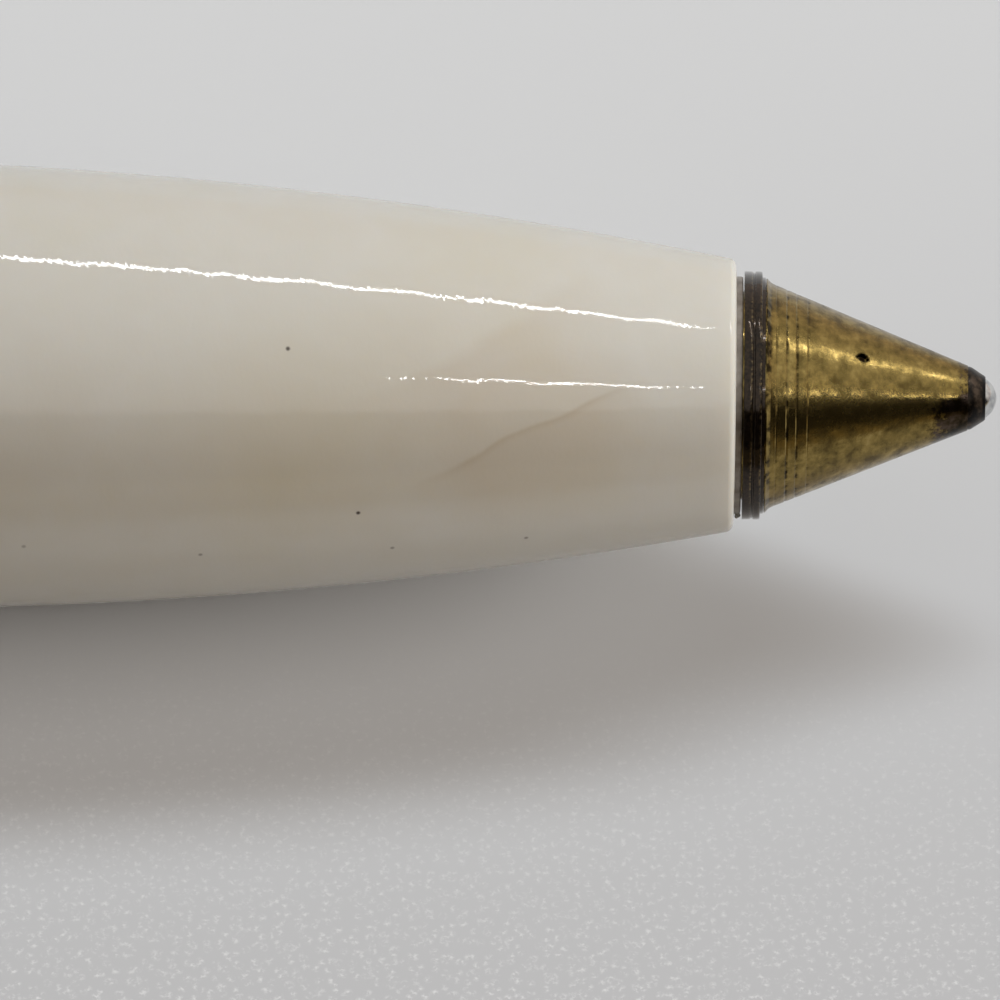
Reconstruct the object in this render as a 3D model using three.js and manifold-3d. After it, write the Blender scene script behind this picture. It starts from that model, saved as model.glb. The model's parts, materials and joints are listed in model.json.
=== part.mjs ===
// A purse pen: a short twist-action ballpoint with two turned resin barrels and brass fittings.
// Millimetres. The pen lies on its side along X with its point towards +X, and Z is up.
// X = 0 is halfway along the pen, Z = 0 is the surface it lies on, and the point is out to write.
import * as THREE from "three";
import { mergeVertices } from "three/addons/utils/BufferGeometryUtils.js";
import Module from "manifold-3d";

const wasm = await Module();
wasm.setup();

// The whole pen
const penLength = 106;
const tip = penLength / 2; // front of the writing ball
const tail = -penLength / 2; // flat end of the tail cap
const bodyRadius = 5; // the swell of both barrels, which the pen lies on
const glueLine = 0.03; // room between pieces that are glued or pressed together
const slipFit = 0.05; // radial room between pieces that slide or turn in each other
const seam = 0.05; // lengthwise room between pieces that are clamped together
const barrelSides = 32;
const smallSides = 24;

// Writing ball, and the point that it is crimped into
const ballRadius = 0.5;
const ballX = tip - ballRadius;
const ballRoom = 0.025;
const lipX = ballX + 0.21;
const lipRadius = 0.52;
const neckRadius = 0.68;
const inkChannel = 0.12;
const inkDuct = 0.45;

// Nose cone
const mouthX = tip - 0.64;
const mouthRadius = 0.722;
const mouthBore = 0.7;
const coneSlope = 0.4045; // radius gained for each millimetre back from the mouth, 22 degrees a side
const coneFoot = tip - 4.98;
const coneLand = tip - 5.14;
const landRadius = 2.6;
const turningMarks = [4.2, 4.45, 4.67, 4.9]; // distance of each cutter mark behind the tip
const markDepth = 0.03;
const seatFront = tip - 2.2; // the bore narrows here, to centre the point
const seatBack = tip - 3.05;

// Ring at each end of the pen: two thin discs with a groove between them
const ringRadius = 2.756;
const ringLength = 0.47;
const ringFront = coneLand - 0.02;

// Brass liner tubes, glued into both barrels and left a little proud of the resin
const linerOuter = 2.64;
const linerInner = 2.36;
const linerProud = 0.15;

// Spigots and plugs that are pressed into the liners
const plugRadius = linerInner - slipFit;
const spigotLength = 6;
const leadIn = 0.25; // chamfer that starts a plug in its bore

// Front barrel: an ogive nose runs into the swell, and a slow taper runs on to the centre band
const frontFace = tip - 5.81;
const frontFaceRadius = 3.02;
const ogiveReach = 20.6; // from the front face back to the full swell
const frontSwellEnd = 13;
const centreFace = -6;
const centreRadius = 4.72;
const edgeRound = 0.12;

// Centre band: a plain brass collar between two dark rings
const bandLength = 3;
const bandRingLength = 0.45;

// Rear barrel: the same swell, and an ogive towards the tail
const rearFront = centreFace - bandLength;
const rearSwellStart = -18;
const rearSwellEnd = -28;
const rearFace = tail + 5.6;
const rearFaceRadius = 3.1;

// Tail cap
const tailRingBack = rearFace - linerProud - glueLine - ringLength;
const capFlatRadius = 1.3;

// Refill: 67 mm long and 2.35 mm across
const refillLength = 67;
const refillRadius = 1.175;
const refillBore = 0.9;
const refillRoom = 0.12;
const refillTail = tip - refillLength;
const neckBack = tip - 2.32;
const pointShoulder = tip - 3.1;
const tubeFront = tip - 6;
const stemEnd = tip - 9;
const ductFront = tip - 3.6; // the wide duct in the stem tapers down to the ink channel here
const ductBack = tip - 4.2;
const inkLength = 31;
const greaseLength = 3.5;

// Twist mechanism: half a turn of the rear barrel draws the refill back by its travel
const travel = 4;
const halfTurn = Math.PI;
const pinX = refillTail - 1.6; // where the follower pin stands with the point out
const pinRadius = 0.28;
const slotWidth = 0.76;
const guideOuter = 1.92;
const guideInner = 1.52;
const guideEnd = pinX - travel - 3.4;
const sleeveInner = 1.98;
const collarFront = centreFace - linerProud - seam;
const collarBack = rearFront + linerProud + seam;
const clipFront = guideEnd + 0.9;
const clipThickness = 0.3;
const clipSeat = 2.14; // counterbore of the cam sleeve, where the clip turns
const plugFlange = clipFront - 3.1;
const plugEnd = plugFlange - 6;
const gripRingX = plugFlange - 3;
const gripRingThickness = 0.28;

// Finishes
const resin = { color: 0xe9e4d6, roughness: 0.12, metalness: 0 };
const wornBrass = { color: 0xa98a45, roughness: 0.35, metalness: 1 };
const darkBrass = { color: 0x2f2820, roughness: 0.4, metalness: 1 };
const tubeBrass = { color: 0xc8a860, roughness: 0.3, metalness: 1 };
const polishedSteel = { color: 0xc9ccd0, roughness: 0.08, metalness: 1 };
const stainedSteel = { color: 0x3a322c, roughness: 0.35, metalness: 1 };
const acetal = { color: 0xefeee8, roughness: 0.45, metalness: 0 };
const nitrile = { color: 0x1c1c1d, roughness: 0.7, metalness: 0 };
const ballpointInk = { color: 0x10162e, roughness: 0.3, metalness: 0 };
const grease = { color: 0xd9cf9a, roughness: 0.3, metalness: 0 };

// A turned solid from an outline of [x, radius] points, which starts and ends on the axis or is
// closed here. The middle of each flat lies on the stated radius, and one flat faces straight down.
function turned(outline, sides = barrelSides) {
  const toCorner = 1 / Math.cos(Math.PI / sides);
  const points = outline.map(([x, r]) => new THREE.Vector2(r * toCorner, x));
  const meetsAxis = Math.max(points[0].x, points.at(-1).x) < 1e-9;
  if (THREE.ShapeUtils.area(points) < 0) points.reverse();
  if (!meetsAxis) points.push(points[0].clone());
  const geometry = new THREE.LatheGeometry(points, sides, Math.PI / sides);
  return geometry.rotateZ(-Math.PI / 2);
}

// A plain tube between two stations, with its outer edges eased.
function tube(front, back, inner, outer, ease, sides = barrelSides) {
  const outline = [
    [back, inner],
    [back, outer - ease],
    [back + ease, outer],
    [front - ease, outer],
    [front, outer - ease],
    [front, inner],
  ];
  return turned(outline, sides);
}

// Evenly spaced stations from one x to another, with the radius that a formula gives.
function curve(from, to, steps, radiusAt) {
  return Array.from({ length: steps + 1 }, (_, i) => {
    const x = from + ((to - from) * i) / steps;
    return [x, radiusAt(x)];
  });
}

// Part of a circle in the plane of x and radius, in degrees from +X.
function arc(x, r, radius, from, to, steps) {
  return Array.from({ length: steps + 1 }, (_, i) => {
    const angle = THREE.MathUtils.degToRad(from + ((to - from) * i) / steps);
    return [x + radius * Math.cos(angle), r + radius * Math.sin(angle)];
  });
}

// The radius at x on a parabola that leaves the swell level at one station and ends at another.
function falling(fromX, toX, endRadius) {
  return (x) => bodyRadius - (bodyRadius - endRadius) * ((x - fromX) / (toX - fromX)) ** 2;
}

// A solid for cutting or joining: vertices merged, and the slivers at the axis dropped.
function toSolid(geometry) {
  const bare = geometry.clone();
  bare.deleteAttribute("normal");
  bare.deleteAttribute("uv");
  const merged = mergeVertices(bare, 1e-4);
  const index = merged.index.array;
  const triangles = [];
  for (let i = 0; i < index.length; i += 3) {
    const [a, b, c] = index.slice(i, i + 3);
    if (a !== b && b !== c && c !== a) triangles.push(a, b, c);
  }
  return new wasm.Manifold(
    new wasm.Mesh({
      numProp: 3,
      vertProperties: merged.attributes.position.array,
      triVerts: new Uint32Array(triangles),
    }),
  );
}

function toGeometry(solid) {
  const mesh = solid.getMesh();
  const geometry = new THREE.BufferGeometry();
  geometry.setAttribute("position", new THREE.BufferAttribute(mesh.vertProperties, 3));
  geometry.setIndex(new THREE.BufferAttribute(mesh.triVerts, 1));
  geometry.computeVertexNormals();
  return geometry;
}

// A round rod that stands out from the pen's axis, at an angle from straight up towards +Y.
function radialRod(x, radius, inner, outer, angle) {
  const rod = new THREE.CylinderGeometry(radius, radius, outer - inner, 16);
  rod.rotateX(Math.PI / 2);
  rod.translate(x, 0, (inner + outer) / 2);
  return rod.rotateX(-angle);
}

// What a cutter removes as it follows the pin through a wall: it starts where the pin stands with
// the point out, and winds by an angle about the axis while it runs back by the travel.
function slotCutter(start, winding, wallInner, wallOuter) {
  const clear = 0.2;
  const [inner, outer] = [wallInner - clear, wallOuter + clear];
  const steps = winding ? 20 : 1;
  const lean = Math.atan2(travel, winding * wallOuter); // the slot's slope on the unrolled wall
  const halfLengthwise = (slotWidth / 2) * Math.cos(lean);
  const halfAround = ((slotWidth / 2) * Math.sin(lean)) / wallInner;
  const corners = [];
  for (let i = 0; i <= steps; i++) {
    const x = pinX - (travel * i) / steps;
    const angle = start + (winding * i) / steps;
    for (const side of [-1, 1]) {
      for (const r of [inner, outer]) {
        const a = angle + side * halfAround;
        corners.push(x + side * halfLengthwise, r * Math.sin(a), r * Math.cos(a));
      }
    }
  }
  const last = steps * 4;
  const faces = [0, 2, 1, 1, 2, 3, last, last + 1, last + 2, last + 1, last + 3, last + 2];
  for (let i = 0; i < last; i += 4) {
    const loop = [i, i + 1, i + 3, i + 2];
    loop.forEach((p, k) => {
      const q = loop[(k + 1) % 4];
      faces.push(p, q, q + 4, p, q + 4, p + 4);
    });
  }
  const strip = new THREE.BufferGeometry();
  strip.setAttribute("position", new THREE.Float32BufferAttribute(corners, 3));
  strip.setIndex(faces);
  const head = radialRod(pinX, slotWidth / 2, inner, outer, start);
  const end = radialRod(pinX - travel, slotWidth / 2, inner, outer, start + winding);
  return toSolid(strip).add(toSolid(head)).add(toSolid(end));
}

// A wall with a pair of opposite slots, one for each end of the follower pin.
function slotted(body, winding, wallInner, wallOuter) {
  const cut = [0, Math.PI].reduce(
    (solid, start) => solid.subtract(slotCutter(start, winding, wallInner, wallOuter)),
    toSolid(body),
  );
  return toGeometry(cut);
}

// A thin-walled barrel with an eased edge at each end and a straight bore for its liner.
function barrel(front, frontRadius, back, backRadius, surface) {
  const bore = linerOuter + glueLine;
  return turned([
    [back, bore],
    [back, backRadius - edgeRound],
    ...surface,
    [front - edgeRound * 0.3, frontRadius - edgeRound * 0.3],
    [front, frontRadius - edgeRound],
    [front, bore],
  ]);
}

function frontBarrel() {
  const ogiveStart = frontFace - ogiveReach;
  const taper = falling(frontSwellEnd, centreFace, centreRadius);
  const ogive = falling(ogiveStart, frontFace, frontFaceRadius);
  return barrel(frontFace, frontFaceRadius, centreFace, centreRadius, [
    ...curve(centreFace + edgeRound, frontSwellEnd, 4, taper),
    ...curve(ogiveStart, frontFace - edgeRound, 10, ogive),
  ]);
}

function rearBarrel() {
  const ogive = falling(rearSwellEnd, rearFace, rearFaceRadius);
  const taper = falling(rearSwellStart, rearFront, centreRadius);
  return barrel(rearFront, centreRadius, rearFace, rearFaceRadius, [
    ...curve(rearFace + edgeRound, rearSwellEnd, 9, ogive),
    ...curve(rearSwellStart, rearFront - edgeRound, 3, taper),
  ]);
}

function liner(front, back) {
  return tube(front, back, linerInner, linerOuter, 0.04);
}

// Cone, land and spigot in one piece. The bore narrows to a seat that centres the point.
function noseCone() {
  const cone = (x) => mouthRadius + coneSlope * (mouthX - x);
  const bore = refillRadius + refillRoom;
  const spigotEnd = frontFace - spigotLength;
  const halfMark = 0.045;
  const marks = turningMarks.flatMap((back) => [
    [tip - back + halfMark, cone(tip - back + halfMark)],
    [tip - back, cone(tip - back) - markDepth],
    [tip - back - halfMark, cone(tip - back - halfMark)],
  ]);
  return turned([
    [mouthX, mouthBore],
    [mouthX, mouthRadius],
    ...marks,
    [coneFoot, cone(coneFoot)],
    [coneLand + 0.05, landRadius - 0.04],
    [coneLand, landRadius],
    [coneLand, plugRadius],
    [spigotEnd + leadIn, plugRadius],
    [spigotEnd, plugRadius - leadIn],
    [spigotEnd, bore],
    [seatBack, bore],
    [seatFront, mouthBore],
  ]);
}

// A ring from the face that meets the cone or cap, with its bevelled edge facing +X or -X.
function discRing(start, facing) {
  const grooveFloor = ringRadius - 0.05;
  const outline = [
    [0, plugRadius + glueLine],
    [0, landRadius],
    [0.1, ringRadius],
    [0.18, ringRadius],
    [0.205, grooveFloor],
    [0.265, grooveFloor],
    [0.29, ringRadius],
    [ringLength - 0.03, ringRadius],
    [ringLength, ringRadius - 0.03],
    [ringLength, plugRadius + glueLine],
  ];
  return turned(outline.map(([x, r]) => [start - facing * x, r]));
}

// Spigot, land and dome. The dome is part of an ellipse, cut off flat at the end of the pen.
function tailCap() {
  const land = tailRingBack - 0.02;
  const spigotFront = rearFace + spigotLength;
  const domeStart = land - 0.35;
  const rise = landRadius - 0.05 - capFlatRadius;
  const dome = arc(0, 0, 1, 90, 180, 8).map(([along, across]) => [
    domeStart + along * (domeStart - tail),
    capFlatRadius + across * rise,
  ]);
  return turned([
    [spigotFront, 0],
    [spigotFront, plugRadius - leadIn],
    [spigotFront - leadIn, plugRadius],
    [land, plugRadius],
    [land, landRadius],
    [land - 0.2, landRadius],
    [land - 0.26, landRadius - 0.12],
    ...dome,
    [tail, 0],
  ]);
}

function writingBall() {
  return turned(arc(ballX, 0, ballRadius, 180, 0, 10), smallSides);
}

// A bevelled lip crimped over the ball, a neck, a seating shoulder, and a stem for the tube.
// A fine channel carries the ink to the back of the socket.
function refillPoint() {
  const socket = ballRadius + ballRoom;
  const lipAngle = THREE.MathUtils.radToDeg(Math.acos((lipX - ballX) / socket));
  const channelAngle = THREE.MathUtils.radToDeg(Math.asin(inkChannel / socket));
  const stem = refillBore - glueLine;
  return turned(
    [
      ...arc(ballX, 0, socket, 180 - channelAngle, lipAngle, 8),
      [lipX, lipRadius],
      [mouthX + 0.02, neckRadius],
      [neckBack, neckRadius],
      [pointShoulder, refillRadius],
      [tubeFront + seam, refillRadius],
      [tubeFront + seam, stem],
      [stemEnd, stem],
      [stemEnd, inkDuct],
      [ductBack, inkDuct],
      [ductFront, inkChannel],
    ],
    smallSides,
  );
}

function refillTube() {
  return tube(tubeFront, refillTail, refillBore, refillRadius, 0.05, smallSides);
}

// What fills the tube between two stations.
function filling(front, back) {
  const radius = refillBore - glueLine;
  const outline = [
    [back, 0],
    [back, radius],
    [front, radius],
    [front, 0],
  ];
  return turned(outline, smallSides);
}

// Holds the tail of the refill, and is crossed by the hole for the follower pin.
function refillCarrier() {
  const front = refillTail + 4.4;
  const back = pinX - 1.3;
  const outer = guideInner - slipFit;
  const socket = refillRadius + slipFit;
  const body = turned(
    [
      [back, 0],
      [back, outer - 0.2],
      [back + 0.2, outer],
      [front - 0.1, outer],
      [front, outer - 0.1],
      [front, socket],
      [refillTail - seam, socket],
      [refillTail - seam, 0],
    ],
    smallSides,
  );
  const hole = radialRod(pinX, pinRadius + glueLine, -guideOuter, guideOuter, 0);
  return toGeometry(toSolid(body).subtract(toSolid(hole)));
}

function followerPin() {
  const reach = plugRadius - 0.1;
  return radialRod(pinX, pinRadius, -reach, reach, 0);
}

// Plug, collar and guide tube in one piece. The guide's straight slots keep the pin from turning.
function mechanismBase() {
  const plugFront = centreFace + 12;
  const bore = refillRadius + refillRoom;
  const grooveFloor = guideOuter - 0.2;
  const grooveBack = clipFront - clipThickness - 0.05;
  const body = turned([
    [plugFront, bore],
    [plugFront, plugRadius - leadIn],
    [plugFront - leadIn, plugRadius],
    [collarFront, plugRadius],
    [collarFront, linerOuter],
    [collarBack, linerOuter],
    [collarBack, guideOuter],
    [clipFront + 0.05, guideOuter],
    [clipFront + 0.05, grooveFloor],
    [grooveBack, grooveFloor],
    [grooveBack, guideOuter],
    [guideEnd + 0.15, guideOuter],
    [guideEnd, guideOuter - 0.15],
    [guideEnd, guideInner],
    [collarBack - 0.1, guideInner],
    [collarBack + 0.15, bore],
  ]);
  return slotted(body, 0, guideInner, guideOuter);
}

// Turns on the guide tube with the rear barrel. Its helical slots drive the pin along.
function camSleeve() {
  const front = collarBack - seam;
  const back = plugFlange + seam;
  const seatX = clipFront + 0.1;
  const body = turned([
    [front, sleeveInner],
    [front, plugRadius - 0.08],
    [front - 0.08, plugRadius],
    [back, plugRadius],
    [back, clipSeat],
    [seatX, clipSeat],
    [seatX, sleeveInner],
  ]);
  return slotted(body, -halfTurn, sleeveInner, plugRadius);
}

// A spring clip in the guide's groove, open at the bottom so that it snaps on.
function retainingClip() {
  const back = clipFront - clipThickness;
  const ring = tube(clipFront, back, guideOuter - 0.16, clipSeat - slipFit, 0.03);
  const opening = new THREE.BoxGeometry(2, 1.6, 2);
  opening.translate(clipFront, 0, -clipSeat);
  return toGeometry(toSolid(ring).subtract(toSolid(opening)));
}

// Closes the cam sleeve and carries the ring that grips the rear liner.
function sleevePlug() {
  const front = plugFlange + 1.6;
  const halfGroove = gripRingThickness / 2 + 0.04;
  const grooveFloor = plugRadius - gripRingThickness - 0.01;
  return turned([
    [front, 0],
    [front, clipSeat - 0.2],
    [front - 0.15, clipSeat - slipFit],
    [plugFlange, clipSeat - slipFit],
    [plugFlange, plugRadius],
    [gripRingX + halfGroove, plugRadius],
    [gripRingX + halfGroove, grooveFloor],
    [gripRingX - halfGroove, grooveFloor],
    [gripRingX - halfGroove, plugRadius],
    [plugEnd + 0.5, plugRadius],
    [plugEnd, plugRadius - 0.5],
    [plugEnd, 0],
  ]);
}

function gripRing() {
  const half = gripRingThickness / 2;
  return turned(arc(gripRingX, linerInner - 0.02 - half, half, 0, 300, 5));
}

function centreBand() {
  const front = centreFace - seam - bandRingLength - glueLine;
  const back = rearFront + seam + bandRingLength + glueLine;
  const middle = (front + back) / 2;
  const crown = (x) => centreRadius - 0.04 - 0.08 * ((x - middle) / (front - middle)) ** 2;
  return turned([
    [back, linerOuter + glueLine],
    ...curve(back, front, 4, crown),
    [front, linerOuter + glueLine],
  ]);
}

// Half-round bead beside the plain collar, one at each barrel.
function bandRing(front) {
  const bead = bandRingLength / 2;
  return turned([
    [front - bandRingLength, linerOuter + glueLine],
    ...arc(front - bead, centreRadius - bead - 0.02, bead, 180, 0, 5),
    [front, linerOuter + glueLine],
  ]);
}

const pen = new THREE.Group();
pen.position.z = bodyRadius;

function add(name, geometry, finish) {
  const mesh = new THREE.Mesh(geometry, new THREE.MeshStandardMaterial(finish));
  mesh.name = name;
  pen.add(mesh);
}

// Front half, which is held still
add("front_barrel", frontBarrel(), resin);
add("front_liner", liner(frontFace + linerProud, centreFace - linerProud), tubeBrass);
add("nose_cone", noseCone(), wornBrass);
add("nose_ring", discRing(ringFront, 1), darkBrass);
add("mechanism_base", mechanismBase(), tubeBrass);
add("retaining_clip", retainingClip(), polishedSteel);
add("band_front_ring", bandRing(centreFace - seam), darkBrass);
add("centre_band", centreBand(), wornBrass);
add("band_rear_ring", bandRing(rearFront + seam + bandRingLength), darkBrass);

// Cam, which turns with the rear half and stays behind when that is pulled off
add("cam_sleeve", camSleeve(), tubeBrass);
add("sleeve_plug", sleevePlug(), acetal);
add("grip_ring", gripRing(), nitrile);

// Rear half
add("rear_barrel", rearBarrel(), resin);
add("rear_liner", liner(rearFront + linerProud, rearFace - linerProud), tubeBrass);
add("tail_ring", discRing(tailRingBack, -1), darkBrass);
add("tail_cap", tailCap(), wornBrass);

// Refill, which the carrier slides in and out
const inkBack = stemEnd - inkLength;
add("refill_carrier", refillCarrier(), acetal);
add("follower_pin", followerPin(), polishedSteel);
add("refill_tube", refillTube(), tubeBrass);
add("refill_point", refillPoint(), stainedSteel);
add("refill_ink", filling(stemEnd - seam, inkBack), ballpointInk);
add("ink_follower", filling(inkBack - seam, inkBack - greaseLength), grease);
add("writing_ball", writingBall(), polishedSteel);

export default pen;
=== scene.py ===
# %% [markdown]
# # A purse pen
# A short twist-action ballpoint lies on its side with its point out. Its two barrels are turned from
# marbled resin, and its cone, bands and cap are brass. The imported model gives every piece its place
# and its size, so it is loaded first and stays fixed. The pieces that show are then turned again
# with rounder forms, and every piece gets a finish.

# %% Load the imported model
import json
from itertools import pairwise
from math import atan2, cos, pi, radians, sin, sqrt, tau

import bmesh
import bpy
from mathutils import Matrix, Vector

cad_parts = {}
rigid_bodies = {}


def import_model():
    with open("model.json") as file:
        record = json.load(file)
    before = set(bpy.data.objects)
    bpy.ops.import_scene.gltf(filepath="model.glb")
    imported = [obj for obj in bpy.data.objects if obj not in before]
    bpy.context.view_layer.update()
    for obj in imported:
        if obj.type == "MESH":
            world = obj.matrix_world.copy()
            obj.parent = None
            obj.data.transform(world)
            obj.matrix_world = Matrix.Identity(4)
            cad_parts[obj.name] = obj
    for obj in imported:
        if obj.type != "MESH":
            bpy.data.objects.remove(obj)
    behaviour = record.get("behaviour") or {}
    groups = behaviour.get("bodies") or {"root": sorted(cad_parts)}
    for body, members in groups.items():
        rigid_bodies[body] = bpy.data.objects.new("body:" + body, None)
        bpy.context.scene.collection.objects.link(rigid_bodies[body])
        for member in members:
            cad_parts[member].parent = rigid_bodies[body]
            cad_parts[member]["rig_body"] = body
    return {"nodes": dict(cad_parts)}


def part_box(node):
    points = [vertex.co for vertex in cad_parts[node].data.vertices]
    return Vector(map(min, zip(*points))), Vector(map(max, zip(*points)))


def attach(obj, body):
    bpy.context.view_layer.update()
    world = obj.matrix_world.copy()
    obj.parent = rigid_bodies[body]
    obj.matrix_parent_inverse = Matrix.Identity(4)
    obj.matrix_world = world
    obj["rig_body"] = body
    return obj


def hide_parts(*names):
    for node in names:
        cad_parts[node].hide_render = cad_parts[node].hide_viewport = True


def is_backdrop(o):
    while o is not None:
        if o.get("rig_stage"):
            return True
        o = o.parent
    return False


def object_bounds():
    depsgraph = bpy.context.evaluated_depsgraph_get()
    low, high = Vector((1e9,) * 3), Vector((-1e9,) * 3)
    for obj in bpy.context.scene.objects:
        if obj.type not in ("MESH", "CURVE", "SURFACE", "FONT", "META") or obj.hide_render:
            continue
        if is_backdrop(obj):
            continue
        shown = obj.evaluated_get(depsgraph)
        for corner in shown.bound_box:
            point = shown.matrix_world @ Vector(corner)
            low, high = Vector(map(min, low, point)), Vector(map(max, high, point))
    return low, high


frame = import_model()
cad_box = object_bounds()
print("nodes:", sorted(frame["nodes"]))

# %% [markdown]
# ## Sizes
# A pen is turned from drawings in millimetres, and Blender works in metres. The sizes below are in
# millimetres along the pen, with x = 0 halfway, so they can be compared with the drawing, and each
# is turned into metres where a point is placed. The pen lies on its swell, so its axis is one
# barrel radius above the floor.

# %% Sizes in millimetres
mm = 0.001
tip, tail = 53, -53
body_radius = 5
glue_line = 0.03
seam = 0.05

liner_outer, liner_inner, liner_proud = 2.64, 2.36, 0.15
plug_radius = 2.31

front_face, front_face_radius = tip - 5.81, 3.02
ogive_reach = 20.6
front_swell_end = 13
centre_face, centre_radius = -6, 4.72

rear_front = centre_face - 3
rear_swell_start, rear_swell_end = -18, -28
rear_face, rear_face_radius = tail + 5.6, 3.1


def on_axis(x, radius=0.0):
    """The point at x along the pen and straight above its axis, in metres."""
    return Vector((x * mm, 0, (body_radius + radius) * mm))


print("CAD box in mm:", [tuple(round(v / mm, 2) for v in corner) for corner in cad_box])

# %% [markdown]
# ## A lathe
# Almost every piece of a pen is made on a lathe: a bar turns, and a cutter follows the outline of
# half a lengthwise section. Blender's Spin does the same. A tiny plane is merged into one vertex,
# which is extruded from corner to corner of the outline, the corners that a maker would break are
# rounded with a vertex bevel, and the outline is spun about the axis. A cylinder pushed into shape
# would need a loop cut for each step, and its edges couldn't be rounded before they were round.

# %% Start a piece and pick its vertices
def blank(primitive, name, **placing):
    """Adds a primitive with nothing else selected, and moves its place into its mesh."""
    bpy.ops.object.select_all(action="DESELECT")
    primitive(**placing)
    piece = bpy.context.object
    piece.name = piece.data.name = name
    bpy.ops.object.transform_apply(location=True)
    return piece


def edit_all():
    """Goes into edit mode with everything selected."""
    bpy.ops.object.mode_set(mode="EDIT")
    bpy.ops.mesh.select_all(action="SELECT")


def select_vertices(wanted):
    """In edit mode, selects the vertices whose place passes the test, and nothing else."""
    bpy.ops.mesh.select_all(action="DESELECT")
    mesh = bmesh.from_edit_mesh(bpy.context.object.data)
    for vertex in mesh.verts:
        vertex.select_set(wanted(vertex.co))
    mesh.select_flush(True)
    bmesh.update_edit_mesh(bpy.context.object.data)


# %% Turn a piece from its outline
merge_distance, pick_distance = 0.0004 * mm, 0.004 * mm
sharp_edge = 32  # degrees between two faces, past which their edge stays sharp


def turn(name, outline, closed=True, steps=128, sharp_above=sharp_edge):
    """Spins an outline of (x, radius) points about the pen's axis.

    A point may go on with (size, segments), and its corner is then rounded. An open outline starts
    and ends on the axis.
    """
    path = [*outline, outline[0]] if closed else outline
    corners = [corner[:2] for corner in path]
    piece = blank(bpy.ops.mesh.primitive_plane_add, name, size=0.05 * mm, location=on_axis(*corners[0]))
    edit_all()
    bpy.ops.mesh.merge(type="CENTER")
    for (x0, r0), (x1, r1) in pairwise(corners):
        step = ((x1 - x0) * mm, 0, (r1 - r0) * mm)
        bpy.ops.mesh.extrude_vertices_move(TRANSFORM_OT_translate={"value": step})
    bpy.ops.mesh.select_all(action="SELECT")
    bpy.ops.mesh.remove_doubles(threshold=merge_distance)
    for x, radius, size, segments in (corner for corner in outline if corner[2:]):
        select_vertices(lambda co: (co - on_axis(x, radius)).length < pick_distance)
        bpy.ops.mesh.bevel(offset=size * mm, segments=segments, affect="VERTICES")
    bpy.ops.mesh.select_all(action="SELECT")
    bpy.ops.mesh.spin(steps=steps, angle=tau, center=on_axis(0), axis=(1, 0, 0))
    bpy.ops.mesh.select_all(action="SELECT")
    bpy.ops.mesh.remove_doubles(threshold=merge_distance)
    bpy.ops.mesh.normals_make_consistent(inside=False)
    bpy.ops.object.mode_set(mode="OBJECT")
    bpy.ops.object.shade_smooth_by_angle(angle=radians(sharp_above))
    print(f"{name}: {len(piece.data.polygons)} faces")
    return piece


# %% Put points on a formula
def stations(start, end, count, radius_at):
    """Evenly spaced (x, radius) points on a formula, both ends included."""
    return [(x, radius_at(x)) for x in (start + (end - start) * i / count for i in range(count + 1))]


def falling(level_x, end_x, end_radius):
    """The radius on a parabola that leaves the barrel's swell level at one x and ends at another."""
    return lambda x: body_radius - (body_radius - end_radius) * ((x - level_x) / (end_x - level_x)) ** 2


# %% [markdown]
# ## Stand in for the imported solids
# The imported solids have 32 flats, which a close-up would show. Each new piece stands for one of them,
# moves with the same body, and hides it.

# %% Stand for a node
shown = dict(frame["nodes"])  # the object that shows for each node


def stand_for(piece, node):
    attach(piece, frame["nodes"][node]["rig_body"])
    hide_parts(node)
    shown[node] = piece
    low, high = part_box(node)
    places = [vertex.co for vertex in piece.data.vertices]
    grown = max(
        max(low[i] - min(co[i] for co in places), max(co[i] for co in places) - high[i]) for i in range(3)
    )
    print(f"{piece.name} stands for {node} and reaches {grown / mm:.3f} mm past its box")


# %% [markdown]
# ## Front barrel
# The barrel is cast resin, drilled for its brass liner and turned between centres. From the swell it
# falls in one long ogive to a rim only 0.3 mm thick, and the sharp rim is broken by hand with
# abrasive cloth. A parabola gives the ogive, because its slope is level where it leaves the swell,
# and so no line shows there under a long reflection.

# %% Turn the front barrel
bore = liner_outer + glue_line
ogive_start = front_face - ogive_reach
# how far each sharp edge is rounded, in mm, and in how many steps
face_edge, rim_edge, bore_edge = (0.12, 5), (0.16, 6), (0.05, 3)
front_barrel = turn(
    "resin_front_barrel",
    [
        (centre_face, bore),
        (centre_face, centre_radius, *face_edge),
        *stations(centre_face + 1, front_swell_end, 16, falling(front_swell_end, centre_face, centre_radius)),
        *stations(ogive_start, front_face - 0.6, 40, falling(ogive_start, front_face, front_face_radius)),
        (front_face, front_face_radius, *rim_edge),
        (front_face, bore, *bore_edge),
    ],
    steps=160,
)
stand_for(front_barrel, "front_barrel")

# %% [markdown]
# ## Rear barrel
# The rear barrel is the same blank turned the other way round. Both ends are faced square to meet
# the centre band and the tail ring.

# %% Turn the rear barrel
rear_barrel = turn(
    "resin_rear_barrel",
    [
        (rear_face, bore),
        (rear_face, rear_face_radius, *rim_edge),
        *stations(rear_face + 0.6, rear_swell_end, 40, falling(rear_swell_end, rear_face, rear_face_radius)),
        *stations(rear_swell_start, rear_front - 1, 12, falling(rear_swell_start, rear_front, centre_radius)),
        (rear_front, centre_radius, *face_edge),
        (rear_front, bore, *bore_edge),
    ],
    steps=160,
)
stand_for(rear_barrel, "rear_barrel")

# %% [markdown]
# ## Liners
# A brass tube is glued into each barrel and trimmed a little proud of the resin, so that the metal
# fittings seat on brass and never press on the resin. In the gap behind the nose ring it shows as a
# sliver of brown metal.

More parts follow.
